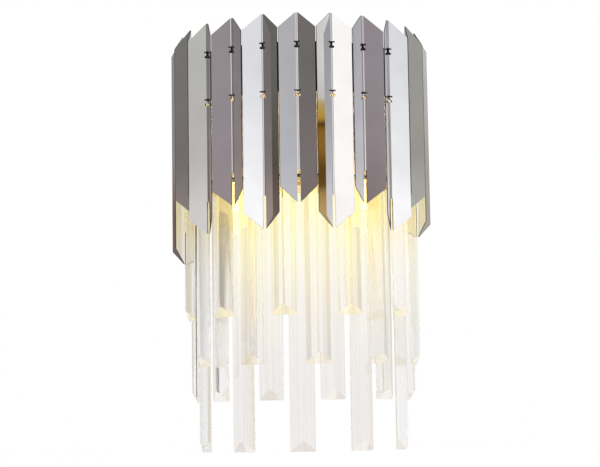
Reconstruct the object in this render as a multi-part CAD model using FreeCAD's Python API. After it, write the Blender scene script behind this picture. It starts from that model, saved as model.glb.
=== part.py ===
import FreeCAD, Part
import math
import os

# Crystal wall sconce, in millimetres. The wall is the plane y = 0 and the lamp faces -y.
# x runs to the viewer's right, z upwards. The origin is the middle of the two wall bolts.
Vector = FreeCAD.Vector

# Canopy: a shallow half-round box against the wall
canopy_height = 46.5
canopy_radius = 113.0
canopy_sheet = 1.2
canopy_wall_sheet = 1.0
axis_offset = 6.0            # wall to the vertical axis of the half circle

# Fold plates: mirror-polished sheet folded to a V, the fold towards the axis
plate_count = 11
fan_angle = 176.0            # degrees taken by all the plates together
wing_reach = 12.0            # canopy wall to the circle of the wing tips
plate_gap = 1.6              # between the tips of neighbouring wings
plate_sheet = 0.8
fold_radius = 2.5
fold_clearance = 0.4         # canopy wall to the back of the fold
plate_rise = 26.6            # point of the plate above the canopy
short_plate_length = 175.2
long_plate_length = 198.5
end_plate_length = 221.0     # the leftmost plate only
top_point_drop = 15.8        # point of the fold to the wing corner
bottom_point_drop = 13.7
plate_corner_radius = 2.0
slit_width = 3.0
slit_length = 30.4

# I-shaped cut-outs on the fold; tabs of the canopy sheets sit in their upper bars
bar_width = 6.0
stem_width = 2.2
foot_width = 4.9
cutout_height = 6.3
foot_height = 2.2
tab_clearance = 0.1
tab_reach = 2.4              # tab end beyond the canopy wall

# Glass prisms in two rings, hung by hooks from a flat half ring
prism_width = 23.0
prism_thickness = 7.2
prism_edge = 1.2             # thickness at the side edges
prism_slant = 10.0           # how much higher the ridge ends than the back
outer_prism_lengths = (125.0, 169.5)
inner_prism_lengths = (202.0, 248.5)
outer_ring_inset = 4.0       # canopy radius to the back of the outer prisms
ring_spacing = 8.5           # back of the outer prisms to the back of the inner prisms
prism_top_gap = 1.0          # half ring to prism
prism_hole_depth = 7.5       # hole below the top of the prism
hook_wire = 1.6
hook_clearance = 0.08
hook_bend = 1.2
hook_leg_gap = 0.6           # upright leg to the back of the prism
hook_tip = 1.5
hook_head_radius = 1.7
hook_head_height = 0.8

# Half ring and its hangers
half_ring_drop = 76.0        # canopy to half ring
half_ring_sheet = 1.5
half_ring_margin = 5.0       # from the rod circle to the inner edge
half_ring_inset = 0.5        # outer edge inside the canopy radius
rod_inset = 4.0              # rod circle inside the backs of the inner prisms
rod_diameter = 4.0
rod_count = 4
rod_turn = 48.0              # degrees from rod to rod
nut_flats = 7.0
nut_height = 3.2
rod_spare = 1.5              # rod beyond its top nut
cap_nut_height = 7.5
cap_nut_step = 0.3           # dome to the flats
thread_clearance = 0.05
hole_clearance = 0.2

# Wall bracket and back plate
bracket_length = 150.0
bracket_sheet = 1.5
bracket_margin = 5.0         # bracket strip to the canopy's sheets
bracket_corner = 3.0
bolt_spacing = 120.0
bolt_slot_width = 5.0
bolt_slot_length = 12.0
tongue_spacing = 110.0
tongue_width = 14.0
tongue_depth = 15.5
window_clearance = 3.0
notch_clearance = 0.15
reflector_corner = 8.0       # lower corners of the back plate, which runs down behind the lamps
locking_screw_y = -9.0
locking_screw_diameter = 4.0
locking_screw_length = 8.0
screw_head_radius = 4.0
screw_head_height = 2.4
screw_head_round = 1.0
screw_recess_margin = 1.6    # cross recess to the head's rim
screw_recess_width = 0.9
screw_recess_depth = 1.2

# Cable entry, earth and terminals
grommet_radius = 8.0
grommet_bore = 4.5
grommet_flange = 2.0
earth_screw_x = 22.0
earth_screw_radius = 2.0
earth_tag = 0.8
tag_ear_length = 5.0
tag_ear_width = 4.0
washer_radius = 4.5
washer_thickness = 0.8
block_length = 41.0
block_depth = 17.0
block_height = 11.0
block_y = -34.0
pole_count = 4
pole_pitch = 10.0
pole_radius = 3.6
pole_height = 4.0
pole_hole_radius = 1.3
pole_hole_height = 5.5
pole_screw_radius = 1.5
block_screw_radius = 1.4
block_screw_head = 2.6       # radius
block_screw_head_height = 1.6
block_screw_spare = 2.0      # below the canopy
grub_sink = 1.0              # top of a pole screw below its turret
driver_slot = 0.6            # width and depth
lead_diameter = 2.0
lead_step = 4.0              # between the two leads of a lamp, above and in front of each other
lead_spread = 2.6            # between them inside the nipple
lead_insert = 4.0            # into its pole
lead_run = 7.0               # straight out of the block, and again to the rise
lead_swing = 9.0             # sideways over that rise
lead_rise = 9.0              # of the lower lead's crest above its pole
lead_fall = 1.0              # crest to the nipple
lead_end = 1.0               # above the nipple's lower rim
earth_run = 16.0             # straight out of each tag
earth_step = 20.0            # forward of the bracket

# Lamp holders and bulbs
holder_spacing = 80.0
holder_y = -52.0
holder_radius = 13.5
holder_neck_radius = 9.0
holder_neck = 5.0
holder_cone = 6.0
holder_length = 48.0
holder_chamfer = 1.0
nipple_radius = 5.0
nipple_bore = 3.75
nipple_depth = 9.5           # below the canopy
nipple_nut_flats = 14.0
nipple_nut_height = 3.0
socket_radius = 7.6
socket_depth = 28.0
shell_sheet = 0.4
shell_length = 20.0
bulb_cap_radius = 6.9
bulb_cap_length = 24.0
bulb_cap_shoulder = 5.0      # cone between the thread and the contact
bulb_contact_radius = 2.5
bulb_contact_height = 1.2
bulb_seat = 2.0              # bulb glass below the holder
glass_radius = 17.5
glass_neck_radius = 8.2
glass_shoulder = 27.0        # neck to the widest level
glass_length = 74.0
glass_end_radius = 3.0
glass_wall = 0.9
filament_radius = 0.9
filament_length = 32.0
filament_circle = 4.4
stem_radius = 2.2
stem_length = 16.0
support_radius = 5.8
support_sheet = 0.6

# Levels and radii that follow from these
canopy_top = canopy_height / 2
canopy_bottom = -canopy_height / 2
floor_level = canopy_bottom + canopy_sheet
ceiling_level = canopy_top - canopy_sheet
plate_pitch = fan_angle / plate_count
point_level = canopy_top + plate_rise
tip_radius = canopy_radius + wing_reach
fold_back = canopy_radius + fold_clearance
bar_height = canopy_sheet + 2 * tab_clearance
half_ring_top = canopy_bottom - half_ring_drop
half_ring_bottom = half_ring_top - half_ring_sheet
prism_top = half_ring_bottom - prism_top_gap
hole_level = prism_top - prism_hole_depth
outer_back = canopy_radius - outer_ring_inset
inner_back = outer_back - ring_spacing
hook_radius = hook_wire / 2
leg_inset = hook_leg_gap + hook_radius
rod_circle = inner_back - rod_inset
rod_radius = rod_diameter / 2
block_top = floor_level + block_height
past = 1.0                   # how far a cutter runs past what it cuts


def box(x0, x1, y0, y1, z0, z1):
    return Part.makeBox(x1 - x0, y1 - y0, z1 - z0, Vector(x0, y0, z0))


def cylinder(radius, start, end):
    axis = end - start
    return Part.makeCylinder(radius, axis.Length, start, axis)


def fuse(shapes):
    return shapes[0].multiFuse(shapes[1:]).removeSplitter()


def turned(shape, angle):
    # turn about the lamp's vertical axis; positive goes to the viewer's right
    copy = shape.copy()
    copy.rotate(Vector(0, -axis_offset, 0), Vector(0, 0, 1), angle)
    return copy


def at_radius(radius, z, x=0.0):
    # a point straight in front of the axis
    return Vector(x, -axis_offset - radius, z)


def rounded_outline(points, radii):
    # closed wire through the points, each corner rounded to its own radius
    edges = []
    starts, ends = [], []
    count = len(points)
    for i, point in enumerate(points):
        before = (points[i - 1] - point).normalize()
        after = (points[(i + 1) % count] - point).normalize()
        radius = radii[i]
        if radius == 0:
            starts.append(point)
            ends.append(point)
            continue
        half = before.getAngle(after) / 2
        reach = radius / math.tan(half)
        middle = point + (before + after).normalize() * (radius / math.sin(half) - radius)
        starts.append(point + before * reach)
        ends.append(point + after * reach)
        edges.append(Part.Arc(starts[i], middle, ends[i]).toShape())
    for i in range(count):
        edges.append(Part.makeLine(ends[i], starts[(i + 1) % count]))
    return Part.Wire(Part.__sortEdges__(edges))


def path_wire(points, bend=None):
    # straight runs joined by tangent arcs, of one bend radius or as large as the runs allow
    edges = []
    last = points[0]
    for i in range(1, len(points) - 1):
        before = points[i] - points[i - 1]
        after = points[i + 1] - points[i]
        half_turn = before.getAngle(after) / 2
        reach = 0.45 * min(before.Length, after.Length)
        if bend is not None:
            reach = bend * math.tan(half_turn)
        radius = reach / math.tan(half_turn)
        if bend is None:
            print("lead bend radius", round(radius, 1))
        before.normalize()
        after.normalize()
        start = points[i] - before * reach
        end = points[i] + after * reach
        inward = (after - before).normalize()
        middle = points[i] + inward * (radius / math.cos(half_turn) - radius)
        edges.append(Part.makeLine(last, start))
        edges.append(Part.Arc(start, middle, end).toShape())
        last = end
    edges.append(Part.makeLine(last, points[-1]))
    return Part.Wire(edges)


def tube(points, radius, bend=None):
    path = path_wire(points, bend)
    ring = Part.Wire(Part.makeCircle(radius, points[0], points[1] - points[0]))
    return path.makePipeShell([ring], True, False)


def hexagon(flats, height, z, x=0.0, y=0.0):
    corner = flats / math.sqrt(3)
    points = []
    for k in range(6):
        turn = math.radians(60 * k)
        points.append(Vector(x + corner * math.cos(turn), y + corner * math.sin(turn), z))
    face = Part.Face(Part.makePolygon(points + points[:1]))
    return face.extrude(Vector(0, 0, height))


def lathe(edges):
    # edges lie in the xz plane; the turned solid stands on the z axis
    face = Part.Face(Part.Wire(Part.__sortEdges__(edges)))
    return face.revolve(Vector(0, 0, 0), Vector(0, 0, 1), 360)


def lathe_polygon(pairs):
    points = [Vector(r, 0, z) for r, z in pairs]
    return lathe([Part.makeLine(a, b) for a, b in zip(points, points[1:] + points[:1])])


def pan_screw(shank_radius, shank_length):
    # head below z = 0 with a cross recess, shank upwards
    low = -screw_head_height
    head = Part.makeCylinder(screw_head_radius, screw_head_height, Vector(0, 0, low))
    rims = [edge for edge in head.Edges if edge.BoundBox.ZMax < low / 2]
    head = head.makeFillet(screw_head_round, rims)
    arm = screw_head_radius - screw_recess_margin
    half = screw_recess_width / 2
    deep = low + screw_recess_depth
    cross = fuse([box(-arm, arm, -half, half, low, deep), box(-half, half, -arm, arm, low, deep)])
    shank = Part.makeCylinder(shank_radius, shank_length)
    return fuse([head.cut(cross), shank])


def half_round(radius, z, height, back):
    # D-shaped slab: half circle in front of the axis, straight sides back to y = back
    points = [Vector(-radius, back, z), Vector(-radius, -axis_offset, z),
              Vector(0, -axis_offset - radius, z), Vector(radius, -axis_offset, z), Vector(radius, back, z)]
    edges = [Part.makeLine(points[0], points[1]), Part.Arc(*points[1:4]).toShape(),
             Part.makeLine(points[3], points[4]), Part.makeLine(points[4], points[0])]
    return Part.Face(Part.Wire(edges)).extrude(Vector(0, 0, height))


def half_disc(radius, z, height):
    # half cylinder in front of the axis
    disc = Part.makeCylinder(radius, height, Vector(0, 0, z), Vector(0, 0, 1), 180)
    disc.rotate(Vector(0, 0, 0), Vector(0, 0, 1), 180)
    return disc.translated(Vector(0, -axis_offset, 0))


def plate_places():
    half = plate_count // 2
    return range(-half, half + 1)


def side_name(stem, place):
    if place == 0:
        return stem + "_centre"
    return "%s_%s_%d" % (stem, "left" if place < 0 else "right", math.ceil(abs(place)))


def half_places():
    return [place + 0.5 for place in list(plate_places())[:-1]]


def holder_points():
    return {"left": (-holder_spacing / 2, holder_y), "right": (holder_spacing / 2, holder_y)}


def rod_points():
    points = []
    for k in range(rod_count):
        turn = math.radians((k - (rod_count - 1) / 2) * rod_turn)
        points.append((rod_circle * math.sin(turn), -axis_offset - rod_circle * math.cos(turn)))
    return points


def canopy_sheet_at(z):
    # top or bottom sheet, with a tab for every plate
    tab_half = bar_width / 2 - tab_clearance
    back = -canopy_sheet
    slab = half_round(canopy_radius, z, canopy_sheet, back)
    tab = box(-tab_half, tab_half, -axis_offset - canopy_radius - tab_reach,
              -axis_offset - canopy_radius + tab_reach, z, z + canopy_sheet)
    return fuse([slab] + [turned(tab, place * plate_pitch) for place in plate_places()])


def make_canopy():
    top = canopy_sheet_at(ceiling_level)
    bottom = canopy_sheet_at(canopy_bottom)
    drill_start, drill_end = canopy_bottom - past, floor_level + past
    holes = []
    for x in (-tongue_spacing / 2, tongue_spacing / 2):
        holes.append((locking_screw_diameter / 2 + hole_clearance, x, locking_screw_y))
    for x, y in holder_points().values():
        holes.append((nipple_radius + hole_clearance, x, y))
    for x, y in rod_points():
        holes.append((rod_radius + hole_clearance, x, y))
    for x in (-pole_pitch, pole_pitch):
        holes.append((block_screw_radius + thread_clearance, x, block_y))
    for radius, x, y in holes:
        bottom = bottom.cut(cylinder(radius, Vector(x, y, drill_start), Vector(x, y, drill_end)))
    inner = canopy_radius - canopy_wall_sheet
    wall_height = ceiling_level - floor_level
    wall = half_round(canopy_radius, floor_level, wall_height, -canopy_sheet)
    wall = wall.cut(half_round(inner, floor_level, wall_height, past))
    return {"canopy_top": top, "canopy_bottom": bottom, "canopy_wall": wall}


def make_back_plate():
    # closes the canopy behind and runs down to the half ring as a reflector for the lamps
    corners = [Vector(-canopy_radius, 0, half_ring_bottom), Vector(canopy_radius, 0, half_ring_bottom),
               Vector(canopy_radius, 0, canopy_top), Vector(-canopy_radius, 0, canopy_top)]
    outline = rounded_outline(corners, [reflector_corner, reflector_corner, 0, 0])
    plate = Part.Face(outline).extrude(Vector(0, -canopy_sheet, 0))
    half_window = bracket_length / 2 + window_clearance
    low = floor_level + bracket_margin - window_clearance
    high = ceiling_level - bracket_margin + window_clearance
    plate = plate.cut(box(-half_window, half_window, -canopy_sheet, 0, low, high))
    half_notch = tongue_width / 2 + window_clearance
    for x in (-tongue_spacing / 2, tongue_spacing / 2):
        plate = plate.cut(box(x - half_notch, x + half_notch, -canopy_sheet, 0,
                              floor_level - notch_clearance, low))
    return plate


def drilled(radius, x):
    # what a hole through the bracket strip takes away, at bolt level
    return cylinder(radius, Vector(x, past, 0), Vector(x, -bracket_sheet - past, 0))


def make_bracket():
    # flat strip with two legs that turn forward as tongues on the canopy's floor
    low = floor_level + bracket_margin
    high = ceiling_level - bracket_margin
    half = bracket_length / 2
    corners = [Vector(-half, 0, low), Vector(half, 0, low), Vector(half, 0, high), Vector(-half, 0, high)]
    outline = rounded_outline(corners, [bracket_corner] * 4)
    strip = Part.Face(outline).extrude(Vector(0, -bracket_sheet, 0))
    parts = [strip]
    for x in (-tongue_spacing / 2, tongue_spacing / 2):
        left, right = x - tongue_width / 2, x + tongue_width / 2
        parts.append(box(left, right, -bracket_sheet, 0, floor_level, low + bracket_corner))
        parts.append(box(left, right, -tongue_depth, 0, floor_level, floor_level + bracket_sheet))
    bracket = fuse(parts)
    for x in (-tongue_spacing / 2, tongue_spacing / 2):
        thread = locking_screw_diameter / 2 + thread_clearance
        bracket = bracket.cut(cylinder(thread, Vector(x, locking_screw_y, floor_level - past),
                                       Vector(x, locking_screw_y, floor_level + bracket_sheet + past)))
    for x in (-bolt_spacing / 2, bolt_spacing / 2):
        reach = (bolt_slot_length - bolt_slot_width) / 2
        radius = bolt_slot_width / 2
        bracket = bracket.cut(fuse([
            drilled(radius, x - reach), drilled(radius, x + reach),
            box(x - reach, x + reach, -bracket_sheet - past, past, -radius, radius)]))
    bracket = bracket.cut(drilled(grommet_radius + thread_clearance, 0))
    return bracket.cut(drilled(earth_screw_radius + thread_clearance, earth_screw_x))


def make_locking_screws():
    screws = []
    for x in (-tongue_spacing / 2, tongue_spacing / 2):
        screw = pan_screw(locking_screw_diameter / 2, locking_screw_length)
        screw.translate(Vector(x, locking_screw_y, canopy_bottom))
        screws.append(screw)
    return Part.makeCompound(screws)


def make_grommet():
    flange = cylinder(grommet_radius + grommet_flange, Vector(0, -bracket_sheet, 0),
                      Vector(0, -bracket_sheet - grommet_flange, 0))
    barrel = cylinder(grommet_radius, Vector(0, 0, 0), Vector(0, -bracket_sheet, 0))
    bore = cylinder(grommet_bore, Vector(0, past, 0), Vector(0, -bracket_sheet - grommet_flange - past, 0))
    return fuse([flange, barrel]).cut(bore)


def make_earth_screw():
    # washer and screw clamp the earth lead's tag on the bracket
    face = -bracket_sheet - earth_tag
    washer = cylinder(washer_radius, Vector(earth_screw_x, face, 0),
                      Vector(earth_screw_x, face - washer_thickness, 0))
    washer = washer.cut(cylinder(earth_screw_radius + thread_clearance, Vector(earth_screw_x, 0, 0),
                                 Vector(earth_screw_x, face - washer_thickness - past, 0)))
    screw = pan_screw(earth_screw_radius, bracket_sheet + earth_tag + washer_thickness - hole_clearance)
    screw.rotate(Vector(0, 0, 0), Vector(1, 0, 0), -90)
    screw.translate(Vector(earth_screw_x, face - washer_thickness, 0))
    return Part.makeCompound([washer, screw])


def pole_places():
    return [(k - (pole_count - 1) / 2) * pole_pitch for k in range(pole_count)]


def make_terminal_block():
    # insulating block with two turrets for each pole; the screws stand in the turrets
    half_length, half_depth = block_length / 2, block_depth / 2
    front, rear = block_y - half_depth, block_y + half_depth
    turret_top = block_top + pole_height
    grub_top = turret_top - grub_sink
    hole_z = floor_level + pole_hole_height
    solids = [box(-half_length, half_length, front, rear, floor_level, block_top)]
    cutters, screws = [], []
    for x in pole_places():
        cutters.append(cylinder(pole_hole_radius, Vector(x, front - past, hole_z),
                                Vector(x, rear + past, hole_z)))
        for y in (block_y - half_depth / 2, block_y + half_depth / 2):
            solids.append(cylinder(pole_radius, Vector(x, y, hole_z), Vector(x, y, turret_top)))
            cutters.append(cylinder(pole_screw_radius + thread_clearance, Vector(x, y, hole_z),
                                    Vector(x, y, turret_top + past)))
            grub = cylinder(pole_screw_radius, Vector(x, y, hole_z + pole_hole_radius), Vector(x, y, grub_top))
            slot = box(x - pole_screw_radius, x + pole_screw_radius, y - driver_slot / 2, y + driver_slot / 2,
                       grub_top - driver_slot, grub_top)
            screws.append(grub.cut(slot))
    for x in (-pole_pitch, pole_pitch):
        foot = Vector(x, block_y, canopy_bottom - block_screw_spare)
        seat = Vector(x, block_y, block_top)
        head_top = Vector(x, block_y, block_top + block_screw_head_height)
        shank = cylinder(block_screw_radius, foot, seat)
        screws.append(fuse([shank, cylinder(block_screw_head, seat, head_top)]))
        cutters.append(cylinder(block_screw_radius + thread_clearance, foot, head_top))
        cutters.append(cylinder(block_screw_head + hole_clearance, seat, Vector(x, block_y, turret_top + past)))
    block = fuse(solids)
    for cutter in cutters:
        block = block.cut(cutter)
    return {"terminal_block": block, "terminal_screws": Part.makeCompound(screws)}


def make_lamp_leads():
    # each lead runs from its pole over the nipple's rim and down its bore
    leads = []
    hole_z = floor_level + pole_hole_height
    front = block_y - block_depth / 2
    poles = pole_places()
    pairs = {"left": (poles[0], poles[1]), "right": (poles[3], poles[2])}
    for side, (holder_x, y) in holder_points().items():
        out = math.copysign(1, holder_x)
        for row, pole_x in enumerate(pairs[side]):
            end_x = holder_x + out * (row - 0.5) * lead_spread
            turn_y = front - lead_run - row * lead_step
            over_z = hole_z + lead_rise + row * lead_step
            leads.append(tube([
                Vector(pole_x, front + lead_insert, hole_z),
                Vector(pole_x, turn_y, hole_z),
                Vector(pole_x + out * lead_swing, turn_y - lead_run, over_z),
                Vector(end_x, y, over_z - lead_fall),
                Vector(end_x, y, canopy_bottom - nipple_depth + lead_end)], lead_diameter / 2))
    return Part.makeCompound(leads)


def ring_tag(bore, ear_turn):
    # flat ring with an ear for the wire, lying on z = 0
    ring = fuse([Part.makeCylinder(washer_radius, earth_tag),
                 box(0, washer_radius + tag_ear_length, -tag_ear_width / 2, tag_ear_width / 2, 0, earth_tag)])
    ring = ring.cut(cylinder(bore, Vector(0, 0, -past), Vector(0, 0, earth_tag + past)))
    ring.rotate(Vector(0, 0, 0), Vector(0, 0, 1), ear_turn)
    return ring


def make_earth_lead():
    # a ring tag on the bracket, another under the nut of one hanger rod, and the wire between
    first = ring_tag(earth_screw_radius + thread_clearance, 0)
    first.rotate(Vector(0, 0, 0), Vector(1, 0, 0), 90)
    first.translate(Vector(earth_screw_x, -bracket_sheet, 0))
    rod_x, rod_y = rod_points()[-1]
    foot_z = floor_level + nut_height
    second = ring_tag(rod_radius + thread_clearance, 180).translated(Vector(rod_x, rod_y, foot_z))
    sink = lead_diameter / 2 - earth_tag / 4
    wire_y = -bracket_sheet - earth_tag - sink
    wire_z = foot_z + earth_tag + sink
    ear_middle = washer_radius + tag_ear_length / 2
    start_x = earth_screw_x + ear_middle
    end_x = rod_x - ear_middle
    wire = tube([
        Vector(start_x, wire_y, 0),
        Vector(start_x + earth_run, wire_y, 0),
        Vector(start_x + earth_run, wire_y - earth_step, wire_z),
        Vector(end_x - earth_run, rod_y, wire_z),
        Vector(end_x, rod_y, wire_z)], lead_diameter / 2)
    return fuse([first, second, wire])


def make_plate(length):
    # folded section, cut to the pointed outline seen from the front
    half_gap = math.degrees(plate_gap / 2 / tip_radius)
    tip_angle = math.radians(plate_pitch / 2 - half_gap)
    tip_x = tip_radius * math.sin(tip_angle)
    tip_r = tip_radius * math.cos(tip_angle)
    centre_r = fold_back + plate_sheet + fold_radius
    far = math.hypot(tip_x, tip_r - centre_r)
    slope = math.atan2(tip_r - centre_r, tip_x) + math.asin(fold_radius / far)
    normal_x, normal_r = math.sin(slope), -math.cos(slope)

    back_x = tip_x + plate_sheet * normal_x
    back_r = tip_r + plate_sheet * normal_r

    def face_edges(radius, x, r):
        # one face of the sheet, from wing tip to wing tip round the fold
        bends = [at_radius(centre_r + radius * normal_r, 0, side * radius * normal_x) for side in (-1, 1)]
        return [Part.makeLine(at_radius(r, 0, -x), bends[0]),
                Part.Arc(bends[0], at_radius(centre_r - radius, 0), bends[1]).toShape(),
                Part.makeLine(bends[1], at_radius(r, 0, x))]

    edges = face_edges(fold_radius, tip_x, tip_r) + face_edges(fold_radius + plate_sheet, back_x, back_r)
    for side in (-1, 1):
        edges.append(Part.makeLine(at_radius(tip_r, 0, side * tip_x), at_radius(back_r, 0, side * back_x)))
    bottom = point_level - length
    folded = Part.Face(Part.Wire(Part.__sortEdges__(edges))).extrude(Vector(0, 0, length))
    folded.translate(Vector(0, 0, bottom))

    # the outline stands behind the plate and is extruded forward through it
    behind = -axis_offset
    forward = Vector(0, -2 * tip_radius, 0)
    high_corner, low_corner = point_level - top_point_drop, bottom + bottom_point_drop
    pairs = [(0, point_level), (back_x, high_corner), (back_x, low_corner),
             (0, bottom), (-back_x, low_corner), (-back_x, high_corner)]
    corner = plate_corner_radius
    outline = rounded_outline([Vector(x, behind, z) for x, z in pairs], [0, corner, corner, 0, corner, corner])
    plate = folded.common(Part.Face(outline).extrude(forward))

    front = -axis_offset - tip_radius - past
    slit_top = bottom + slit_length - slit_width / 2
    plate = plate.cut(fuse([
        box(-slit_width / 2, slit_width / 2, front, behind, bottom - past, slit_top),
        cylinder(slit_width / 2, Vector(0, front, slit_top), Vector(0, behind, slit_top))]))
    for sheet_level in (ceiling_level, canopy_bottom):
        high = sheet_level + canopy_sheet + tab_clearance
        low = high - cutout_height
        plate = plate.cut(fuse([
            box(-bar_width / 2, bar_width / 2, front, behind, high - bar_height, high),
            box(-stem_width / 2, stem_width / 2, front, behind, low, high),
            box(-foot_width / 2, foot_width / 2, front, behind, low, low + foot_height)]))
    return plate


def plate_length(place):
    if place == -(plate_count // 2):
        return end_plate_length
    return long_plate_length if place % 2 else short_plate_length


def make_plates():
    nodes = {}
    for place in plate_places():
        nodes[side_name("fold_plate", place)] = turned(make_plate(plate_length(place)), place * plate_pitch)
    return nodes


def make_prism(length, back):
    # ridge outwards, flat back towards the axis, slanting cut at the bottom, hole near the top
    half = prism_width / 2
    edge = back + prism_edge
    ridge = back + prism_thickness
    bottom = prism_top - length
    corners = [at_radius(back, bottom, -half), at_radius(back, bottom, half), at_radius(edge, bottom, half),
               at_radius(ridge, bottom), at_radius(edge, bottom, -half)]
    prism = Part.Face(Part.makePolygon(corners + corners[:1])).extrude(Vector(0, 0, length))
    slope = prism_slant / prism_thickness
    near, far = back - past, ridge + past
    side = -half - past
    corners = [at_radius(near, bottom - past * slope, side),
               at_radius(far, bottom + prism_slant + past * slope, side),
               at_radius(far, bottom - past * slope, side)]
    wedge = Part.Face(Part.makePolygon(corners + corners[:1])).extrude(Vector(-2 * side, 0, 0))
    hole = cylinder(hook_radius + hook_clearance, at_radius(near, hole_level), at_radius(far, hole_level))
    return prism.cut(wedge).cut(hole)


def inner_prism_length(place):
    return inner_prism_lengths[1 - place % 2]


def outer_prism_length(place):
    return outer_prism_lengths[int(place + plate_count - 0.5) % 2]


def make_prisms():
    nodes = {}
    for place in plate_places():
        prism = make_prism(inner_prism_length(place), inner_back)
        nodes[side_name("inner_prism", place)] = turned(prism, place * plate_pitch)
    for place in half_places():
        prism = make_prism(outer_prism_length(place), outer_back)
        nodes[side_name("outer_prism", place)] = turned(prism, place * plate_pitch)
    return nodes


def make_hook(back):
    # wire down behind the prism, forward through its hole and turned up past the ridge
    leg = back - leg_inset
    tip = back + prism_thickness + hook_bend + hook_leg_gap
    wire = tube([at_radius(leg, half_ring_top), at_radius(leg, hole_level), at_radius(tip, hole_level),
                 at_radius(tip, hole_level + hook_bend + hook_tip)], hook_radius, hook_bend)
    head_top = half_ring_top + hook_head_height
    head = cylinder(hook_head_radius, at_radius(leg, half_ring_top), at_radius(leg, head_top))
    return fuse([wire, head])


def make_hooks():
    hooks = [turned(make_hook(inner_back), place * plate_pitch) for place in plate_places()]
    hooks += [turned(make_hook(outer_back), place * plate_pitch) for place in half_places()]
    return Part.makeCompound(hooks)


def make_half_ring():
    ring = half_disc(canopy_radius - half_ring_inset, half_ring_bottom, half_ring_sheet)
    ring = ring.cut(half_disc(rod_circle - half_ring_margin, half_ring_bottom, half_ring_sheet))
    low, high = half_ring_bottom - past, half_ring_top + past
    drills = []
    for places, back in ((plate_places(), inner_back), (half_places(), outer_back)):
        leg = back - leg_inset
        drill = cylinder(hook_radius + hook_clearance, at_radius(leg, low), at_radius(leg, high))
        drills += [turned(drill, place * plate_pitch) for place in places]
    for x, y in rod_points():
        drills.append(cylinder(rod_radius + hole_clearance, Vector(x, y, low), Vector(x, y, high)))
    return ring.cut(Part.makeCompound(drills))


def make_nut(x, y, z):
    bore = cylinder(rod_radius + thread_clearance, Vector(x, y, z - past), Vector(x, y, z + nut_height + past))
    return hexagon(nut_flats, nut_height, z, x, y).cut(bore)


def make_cap_nut(x, y):
    # hexagon with a domed end, bored blind from above
    dome_radius = nut_flats / 2 - cap_nut_step
    hex_height = cap_nut_height - dome_radius
    base = half_ring_bottom - hex_height
    body = hexagon(nut_flats, hex_height, base, x, y)
    dome = Part.makeSphere(dome_radius, Vector(x, y, base))
    bore = cylinder(rod_radius + thread_clearance, Vector(x, y, base), Vector(x, y, half_ring_bottom + past))
    return fuse([body, dome]).cut(bore)


def make_hangers():
    rods, nuts, caps = [], [], []
    rod_top = floor_level + 2 * nut_height + rod_spare
    rod_end = half_ring_bottom - nut_height
    for x, y in rod_points():
        rods.append(cylinder(rod_radius, Vector(x, y, rod_end), Vector(x, y, rod_top)))
        nuts += [make_nut(x, y, floor_level), make_nut(x, y, canopy_bottom - nut_height),
                 make_nut(x, y, half_ring_top)]
        caps.append(make_cap_nut(x, y))
    x, y = rod_points()[-1]
    nuts.append(make_nut(x, y, floor_level + nut_height + earth_tag))
    return {"hanger_rods": Part.makeCompound(rods), "hanger_nuts": Part.makeCompound(nuts),
            "cap_nuts": Part.makeCompound(caps)}


def on_axis(radius, low, high):
    return cylinder(radius, Vector(0, 0, low), Vector(0, 0, high))


def make_holder():
    # hangs from z = 0 with a bore for the nipple at the top and the socket open at the bottom
    waist = holder_neck + holder_cone
    rim = -holder_length
    body = lathe_polygon([
        (0, 0), (holder_neck_radius, 0), (holder_neck_radius, -holder_neck), (holder_radius, -waist),
        (holder_radius, rim + holder_chamfer), (holder_radius - holder_chamfer, rim), (0, rim)])
    socket_top = rim + socket_depth
    body = body.cut(on_axis(nipple_radius + thread_clearance, -nipple_depth, past))
    body = body.cut(on_axis(nipple_bore, socket_top - past, 0))
    return body.cut(on_axis(socket_radius, rim - past, socket_top))


def make_socket_shell():
    outer = socket_radius - thread_clearance
    low = (socket_depth - shell_length) / 2 - holder_length
    high = low + shell_length
    return on_axis(outer, low, high).cut(on_axis(outer - shell_sheet, low - past, high + past))


def make_nipple():
    top = canopy_sheet + nipple_nut_height + rod_spare
    bore = on_axis(nipple_bore, -nipple_depth - past, top + past)
    return on_axis(nipple_radius, -nipple_depth, top).cut(bore)


def make_nipple_nut():
    bore = on_axis(nipple_radius + thread_clearance, 0, canopy_sheet + nipple_nut_height + past)
    return hexagon(nipple_nut_flats, nipple_nut_height, canopy_sheet).cut(bore)


def make_bulb_cap():
    # metal screw cap with its contact at the top; the glass sits on its lower rim
    rim = -holder_length - bulb_seat
    top = rim + bulb_cap_length
    step = top - bulb_contact_height
    return lathe_polygon([
        (0, rim), (glass_neck_radius, rim), (glass_neck_radius, rim + bulb_seat / 2),
        (bulb_cap_radius, rim + bulb_seat), (bulb_cap_radius, top - bulb_cap_shoulder),
        (bulb_contact_radius + 1, step), (bulb_contact_radius, step), (bulb_contact_radius, top), (0, top)])


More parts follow.
